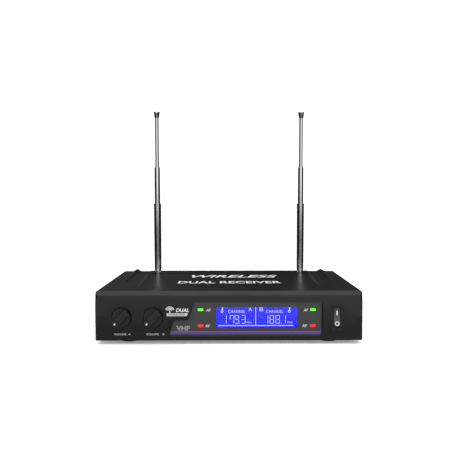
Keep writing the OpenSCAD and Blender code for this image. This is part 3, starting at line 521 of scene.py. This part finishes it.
# ---------------------------------------------------------------------------------------------
# Indicator lamps. Rectangular 5 x 2 mm diffused lamps pushed through the plate from behind:
# green for sound and red for carrier, lit.
# ---------------------------------------------------------------------------------------------

def lit_lamp(name, deep, bright):
    """Coloured diffusing epoxy, lit a little unevenly from within."""
    made, shader = glowing(name, deep, bright, 1.2, 420, swing=0.25, level=0.6)
    shader.inputs["Base Color"].default_value = (*deep, 1)
    shader.inputs["Roughness"].default_value = 0.35
    return made


finish_with(lit_lamp("Lit green lamp", (0.03, 0.5, 0.0), (0.16, 1.0, 0.0)), "af_leds")
finish_with(lit_lamp("Lit red lamp", (0.6, 0.0, 0.005), (1.0, 0.02, 0.026)), "rf_leds")
soften("af_leds", 0.3, 3)
soften("rf_leds", 0.3, 3)


# ---------------------------------------------------------------------------------------------
# Volume controls. Pushed-on knobs with a raised finger bar and a white filled pointer, on the
# shafts of two board-mounted controls fixed to the panel with a washer and a nut.
# ---------------------------------------------------------------------------------------------

KNOB_BLACK = grained("Satin black knob", (0.0085, 0.0085, 0.0087), 0.42, grain=2200, mottle=0.15,
                     relief=0.006)
POINTER_WHITE = grained("White pointer fill", (0.5, 0.5, 0.49), 0.4, grain=3000, mottle=0.1)
finish_with(KNOB_BLACK, "knob_a", "knob_b")
finish_with(POINTER_WHITE, "knob_a_pointer", "knob_b_pointer")
soften("knob_a", 0.3, 3)
soften("knob_b", 0.3, 3)


def drawn_lines():
    """Texture of turned or drawn metal: the fine lines that making it leaves, and slow stains."""
    group = bpy.data.node_groups.new("Drawn metal", "ShaderNodeTree")
    socket_of(group, "Colour", "NodeSocketColor", "INPUT", (0.6, 0.6, 0.6, 1))
    socket_of(group, "Roughness", "NodeSocketFloat", "INPUT", 0.3)
    socket_of(group, "Lines per metre", "NodeSocketFloat", "INPUT", 4000)
    socket_of(group, "Stretch", "NodeSocketVector", "INPUT", (1, 1, 1))
    socket_of(group, "Colour", "NodeSocketColor", "OUTPUT")
    socket_of(group, "Roughness", "NodeSocketFloat", "OUTPUT")
    socket_of(group, "Height", "NodeSocketFloat", "OUTPUT")
    ends = add(group, "NodeGroupInput")
    out = add(group, "NodeGroupOutput")
    place = add(group, "ShaderNodeTexCoord")
    stretch = add(group, "ShaderNodeMapping")
    link(group, ends.outputs["Stretch"], stretch.inputs["Scale"])
    link(group, place.outputs["Object"], stretch.inputs["Vector"])
    drawn = add(group, "ShaderNodeTexNoise")
    drawn.inputs["Detail"].default_value = 2
    link(group, ends.outputs["Lines per metre"], drawn.inputs["Scale"])
    link(group, stretch.outputs[0], drawn.inputs["Vector"])
    stain = add(group, "ShaderNodeTexNoise")
    stain.inputs["Scale"].default_value = 90
    stain.inputs["Detail"].default_value = 3
    link(group, place.outputs["Object"], stain.inputs["Vector"])
    tone = arithmetic(group, "MULTIPLY_ADD", stain.outputs["Fac"], 0.14)
    tone.node.inputs[2].default_value = 0.86
    tinted = add(group, "ShaderNodeVectorMath", operation="SCALE")
    link(group, ends.outputs["Colour"], tinted.inputs[0])
    link(group, tone, tinted.inputs["Scale"])
    link(group, tinted.outputs[0], out.inputs["Colour"])
    swing = arithmetic(group, "SUBTRACT", stain.outputs["Fac"], 0.5)
    rough = arithmetic(group, "MULTIPLY_ADD", swing, 0.12)
    link(group, ends.outputs["Roughness"], rough.node.inputs[2])
    link(group, rough, out.inputs["Roughness"])
    link(group, drawn.outputs["Fac"], out.inputs["Height"])
    return group


DRAWN_METAL = drawn_lines()


def turned_metal(name, colour, roughness, lines=4000, relief=0.004, axis="Z"):
    """Bright metal with fine rings around an axis, or draw lines across it."""
    stretch = tuple(1.0 if a == axis else 0.06 for a in "XYZ")
    values = {"Colour": (*colour, 1), "Roughness": roughness, "Lines per metre": lines,
              "Stretch": stretch}
    made, shader = skinned(name, DRAWN_METAL, values, relief)
    shader.inputs["Metallic"].default_value = 1.0
    return made


BRIGHT_STEEL = turned_metal("Plated steel", (0.62, 0.62, 0.63), 0.28)
NICKEL = turned_metal("Nickel plate", (0.75, 0.74, 0.72), 0.18, axis="Y")
finish_with(NICKEL, "pot_nuts", "pot_washers")
PLAIN_ALUMINIUM = turned_metal("Plain aluminium", (0.56, 0.57, 0.58), 0.34, axis="Y")
finish_with(PLAIN_ALUMINIUM, "volume_pots", "pot_shaft_a", "pot_shaft_b")


# ---------------------------------------------------------------------------------------------
# Power switch. An oval rocker in a snap-in housing, with its on and off signs filled in white.
# It rests with its upper end pressed in: on.
# ---------------------------------------------------------------------------------------------

HOUSING_BLACK = grained("Satin black switch housing", (0.0055, 0.0055, 0.0056), 0.42, relief=0.004)
finish_with(HOUSING_BLACK, "switch_housing")
soften("switch_housing", 0.25, 2)


def rocker_finish():
    """Semi-gloss rocker: an upright bar and a ring filled white, placed by height and width."""
    made = grained("Semi-gloss rocker", (0.036, 0.036, 0.037), 0.34, grain=2000, mottle=0.1,
                   relief=0.004)
    tree = made.node_tree
    shader = tree.nodes["Principled BSDF"]
    black = shader.inputs["Base Color"].links[0].from_socket
    low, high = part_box("switch_housing")
    middle_x, middle_z = (low.x + high.x) / 2, (low.z + high.z) / 2
    place = add(tree, "ShaderNodeTexCoord")
    split = add(tree, "ShaderNodeSeparateXYZ")
    link(tree, place.outputs["Object"], split.inputs[0])
    across = arithmetic(tree, "SUBTRACT", split.outputs["X"], middle_x)
    up = arithmetic(tree, "SUBTRACT", split.outputs["Z"], middle_z)

    def within(value, reach):
        return arithmetic(tree, "LESS_THAN", arithmetic(tree, "ABSOLUTE", value), reach * MM)

    bar_up, bar_half_width, bar_half_height = 3.7, 0.4, 1.8
    ring_down, ring_radius, ring_half_stroke = 4.6, 1.4, 0.27
    print_depth = 3.0
    on_x = within(across, bar_half_width)
    on_z = within(arithmetic(tree, "SUBTRACT", up, bar_up * MM), bar_half_height)
    ring_x = arithmetic(tree, "POWER", across, 2)
    ring_z = arithmetic(tree, "POWER", arithmetic(tree, "ADD", up, ring_down * MM), 2)
    radius = arithmetic(tree, "SQRT", arithmetic(tree, "ADD", ring_x, ring_z))
    ring = within(arithmetic(tree, "SUBTRACT", radius, ring_radius * MM), ring_half_stroke)
    front = arithmetic(tree, "LESS_THAN", split.outputs["Y"], low.y + print_depth * MM)
    sign = arithmetic(tree, "MAXIMUM", arithmetic(tree, "MULTIPLY", on_x, on_z), ring)
    sign = arithmetic(tree, "MULTIPLY", sign, front)
    link(tree, blend_colours(tree, sign, black, (0.66, 0.66, 0.66)), shader.inputs["Base Color"])
    return made


finish_with(rocker_finish(), "switch_rocker")
soften("switch_rocker", 0.35, 3, 40)
BRASS = turned_metal("Tinned brass", (0.62, 0.5, 0.3), 0.3)
finish_with(BRASS, "switch_terminals")
finish_with(grained("Red lead insulation", (0.35, 0.02, 0.02), 0.45, grain=1500), "switch_leads")


# ---------------------------------------------------------------------------------------------
# Top cover. One glossier ABS moulding, its top, sides and rear lip in one, with tapering ribs
# and a raised strip along the rear for the antennas. White print on top.
# ---------------------------------------------------------------------------------------------

SEMI_GLOSS_BLACK = grained("Semi-gloss black ABS", (0.0055, 0.0055, 0.0057), 0.33, grain=1800,
                           mottle=0.12, relief=0.0015)
finish_with(SEMI_GLOSS_BLACK, "top_cover")
soften("top_cover", 0.3, 2, merge=False)
COVER_TOP = 42.0 * MM


def on_cover(x, y):
    return Vector((x * MM, y * MM, COVER_TOP + 0.03 * MM)), Matrix.Identity(4)


rear_words = lettering("WIRELESS", 80, 17, slant=0.3, bold=0.02)
printed("cover_words_rear", rear_words, *on_cover(5, 25), WHITE_INK, "case_black")
front_words = lettering("DUAL RECEIVER", 89, 13.5, bold=0.02)
printed("cover_words_front", front_words, *on_cover(0.5, -14), WHITE_INK, "case_black")


# ---------------------------------------------------------------------------------------------
# Bottom tray, feet and case screws. The tray is the same ABS with cooling slots, four bosses
# and standoffs; soft rubber feet plug into it and four screws pull the shells together.
# ---------------------------------------------------------------------------------------------

finish_with(SATIN_BLACK, "bottom_tray", "rear_panel")
soften("bottom_tray", 0.3, 2)
RUBBER = grained("Black rubber", (0.012, 0.012, 0.012), 0.7, grain=1400, mottle=0.3, relief=0.03)
finish_with(RUBBER, "rubber_feet")
soften("rubber_feet", 0.7, 4)
finish_with(turned_metal("Black oxide steel", (0.06, 0.06, 0.062), 0.35), "case_screws")


# ---------------------------------------------------------------------------------------------
# Rear sockets. A 6.35 mm audio socket held by a plated nut, and a direct current socket.
# ---------------------------------------------------------------------------------------------

SOCKET_BLACK = grained("Glossy black socket", (0.015, 0.015, 0.016), 0.25, relief=0.004)
finish_with(SOCKET_BLACK, "output_jack", "dc_jack")
finish_with(NICKEL, "output_jack_nut", "dc_jack_pin")
soften("output_jack", 0.3, 2)
soften("output_jack_nut", 0.2, 2)


# ---------------------------------------------------------------------------------------------
# Circuit boards and the parts on them. Green glass-epoxy boards with tinned cans, coils,
# crystals, chips, sleeved capacitors, a regulator and nylon headers joined by a flat cable.
# ---------------------------------------------------------------------------------------------

def board_finish():
    made = grained("Green circuit board", (0.012, 0.11, 0.045), 0.3, grain=1600, mottle=0.2)
    tree = made.node_tree
    shader = tree.nodes["Principled BSDF"]
    green = shader.inputs["Base Color"].links[0].from_socket
    place = add(tree, "ShaderNodeTexCoord")
    tracks = add(tree, "ShaderNodeTexBrick")
    tracks.inputs["Scale"].default_value = 190
    tracks.inputs["Mortar Size"].default_value = 0.04
    link(tree, place.outputs["Object"], tracks.inputs["Vector"])
    copper_seen = blend_colours(tree, tracks.outputs["Fac"], green, (0.02, 0.2, 0.08))
    link(tree, copper_seen, shader.inputs["Base Color"])
    return made


finish_with(board_finish(), "main_board", "front_board")
finish_with(BRIGHT_STEEL, "main_board_screws", "front_board_screws")
finish_with(BRIGHT_STEEL, "post_screw_left", "post_screw_right")
TIN = turned_metal("Tinned sheet", (0.7, 0.69, 0.66), 0.3, axis="X")
finish_with(TIN, "rf_shield_cans", "if_coils", "crystals", "antenna_brackets")
MOULDED_EPOXY = grained("Moulded epoxy", (0.015, 0.015, 0.015), 0.55, grain=3000, relief=0.02)
finish_with(MOULDED_EPOXY, "signal_chips", "voltage_regulator")
finish_with(grained("Blue capacitor sleeve", (0.02, 0.035, 0.12), 0.3), "electrolytic_caps")
finish_with(grained("Cream nylon", (0.68, 0.63, 0.52), 0.5), "board_headers")
finish_with(grained("Grey flat cable", (0.3, 0.31, 0.34), 0.4, grain=700), "ribbon_cable")


# ---------------------------------------------------------------------------------------------
# Antennas. Plated brass tubes that slide in each other, on a slotted foot that folds on a pin
# in a post that turns in the cover.
# ---------------------------------------------------------------------------------------------

CHROME = turned_metal("Polished chrome plate", (0.55, 0.555, 0.57), 0.12, lines=2600,
                      relief=0.0004)
SATIN_CHROME = turned_metal("Satin chrome", (0.5, 0.5, 0.52), 0.25, lines=2600, relief=0.003)
for side in ("left", "right"):
    for part in ("lower_tube", "middle_tube", "upper_rod", "antenna_tip"):
        finish_with(CHROME, f"{part}_{side}")
    for part in ("antenna_post", "antenna_base", "pivot_pin"):
        finish_with(SATIN_CHROME, f"{part}_{side}")
    for part, width in (("lower_tube", 0.25), ("middle_tube", 0.25), ("antenna_tip", 0.4),
                        ("antenna_base", 0.25)):
        soften(f"{part}_{side}", width, 3)


# ---------------------------------------------------------------------------------------------
# Studio. A pale floor, a broad light overhead, a smaller one from the upper left, and a soft
# surrounding that is dim where glossy faces look into it.
# ---------------------------------------------------------------------------------------------

scene = bpy.context.scene
scene.view_settings.view_transform = "Standard"
floor_mesh = bpy.data.meshes.new("floor")
floor_mesh.from_pydata([(-6, -6, 0), (6, -6, 0), (6, 6, 0), (-6, 6, 0)], [], [(0, 1, 2, 3)])
floor = bpy.data.objects.new("floor", floor_mesh)
scene.collection.objects.link(floor)
paper, tree, shader = new_material("Back-lit white floor")
shader.inputs["Base Color"].default_value = (0.88, 0.88, 0.88, 1)
shader.inputs["Roughness"].default_value = 0.9
shader.inputs["Emission Color"].default_value = (1, 1, 1, 1)
shader.inputs["Emission Strength"].default_value = 0.25
shader.inputs["Specular IOR Level"].default_value = 0.0
floor_mesh.materials.append(paper)
floor.visible_glossy = False


def softbox(name, place, aim, width, height, radiance):
    data = bpy.data.lights.new(name, "AREA")
    data.shape = "RECTANGLE"
    data.size, data.size_y = width, height
    data.energy = radiance * math.pi * width * height
    made = bpy.data.objects.new(name, data)
    made.location = place
    made.rotation_euler = (Vector(aim) - Vector(place)).to_track_quat("-Z", "Y").to_euler()
    scene.collection.objects.link(made)
    made.visible_camera = False


softbox("overhead softbox", (0, -0.1, 1.0), (0, 0, 0), 1.3, 0.8, 1.9)
softbox("left softbox", (-0.7, -0.7, 0.75), (0, 0, 0.03), 0.4, 0.4, 1.4)

world = bpy.data.worlds.new("studio")
scene.world = world
world.use_nodes = True
tree = world.node_tree
tree.nodes.clear()
out = add(tree, "ShaderNodeOutputWorld")
background = add(tree, "ShaderNodeBackground")
link(tree, background.outputs[0], out.inputs["Surface"])
place = add(tree, "ShaderNodeTexCoord")
split = add(tree, "ShaderNodeSeparateXYZ")
link(tree, place.outputs["Generated"], split.inputs[0])
across, depth, height = split.outputs


def ramp(value, low, high):
    made = add(tree, "ShaderNodeMapRange", interpolation_type="SMOOTHSTEP")
    made.inputs["From Min"].default_value = low
    made.inputs["From Max"].default_value = high
    link(tree, value, made.inputs["Value"])
    return made.outputs["Result"]


def times(first, second):
    return arithmetic(tree, "MULTIPLY", first, second)


def plus(first, second):
    return arithmetic(tree, "ADD", first, second)


# A bright wall in front, dimmer below eye level and brighter to the right
room = arithmetic(tree, "MULTIPLY_ADD", ramp(height, -0.05, 0.03), 1.25)
room.node.inputs[2].default_value = 0.23
lean = arithmetic(tree, "MULTIPLY_ADD", across, 0.7)
lean.node.inputs[2].default_value = 1.0
front = times(times(room, lean), ramp(times(depth, -1.0), 0.6, 0.9))
# A dim rear wall, darkest in the middle, with a faint line of light low down
rear = times(arithmetic(tree, "ABSOLUTE", arithmetic(tree, "SUBTRACT", across, 0.07)), 0.24)
rear = times(rear, ramp(depth, 0.5, 0.9))
line = arithmetic(tree, "SUBTRACT", ramp(height, 0.02, 0.06), ramp(height, 0.09, 0.14))
rear = plus(rear, times(times(line, 0.06), ramp(depth, 0.3, 0.7)))
# The ceiling's rear half, and the floor at the sides and the rear
ceiling = times(times(ramp(height, 0.45, 0.7), ramp(depth, 0.3, 0.6)), 0.5)
floor_light = times(times(ramp(times(height, -1.0), 0.08, 0.2), ramp(depth, -0.5, -0.2)), 0.3)
glossy = plus(plus(plus(front, rear), plus(ceiling, floor_light)), 0.012)
paths = add(tree, "ShaderNodeLightPath")
level = blend_colours(tree, paths.outputs["Is Glossy Ray"], (1.15, 1.15, 1.15), glossy)
link(tree, level, background.inputs["Color"])
background.inputs["Strength"].default_value = 1.0
world.cycles.sampling_method = "NONE"

data = bpy.data.cameras.new("camera")
data.lens = 46.65
data.sensor_width = 36
data.shift_x, data.shift_y = -0.0124, 0.024
data.clip_start, data.clip_end = 0.01, 30
camera = bpy.data.objects.new("camera", data)
camera.location = (0, -0.5251, 0.11455)
camera.rotation_euler = (math.radians(85.99), 0, math.radians(-0.542))
scene.collection.objects.link(camera)
scene.camera = camera
